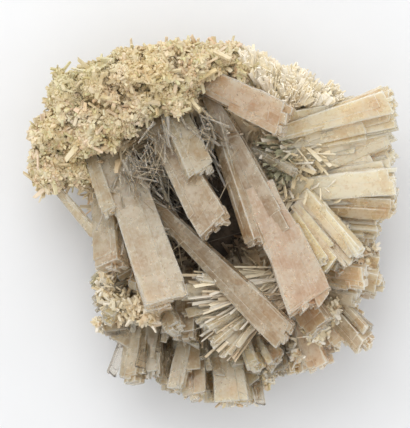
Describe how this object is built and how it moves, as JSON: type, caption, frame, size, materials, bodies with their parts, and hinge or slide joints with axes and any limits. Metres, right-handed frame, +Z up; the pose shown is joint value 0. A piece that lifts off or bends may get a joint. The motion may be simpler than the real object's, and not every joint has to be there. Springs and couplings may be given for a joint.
{
  "type": "gypsum crystal specimen with a sulfur-yellow crust",
  "caption": "Loose hand specimen of milky peach gypsum blades that fan round a dark hollow lined with needles, with a pale yellow crust, on a flat-cut rock.",
  "frame": {"origin": "middle of the specimen's outline in plan, on the surface that it rests on", "axes": "+Z up; +X towards the fan of thick blades, +Y towards the yellow crust"},
  "size_m": [0.124, 0.123, 0.0553],
  "materials": {
    "rock": "matte",
    "gypsum": "satin",
    "crust": "matte",
    "needles": "satin"
  },
  "bodies": {
    "root": {"matrix": "rock", "crystal_cluster": "gypsum", "sulfur_crust": "crust", "hollow_needles": "needles"}
  },
  "joints": []
}
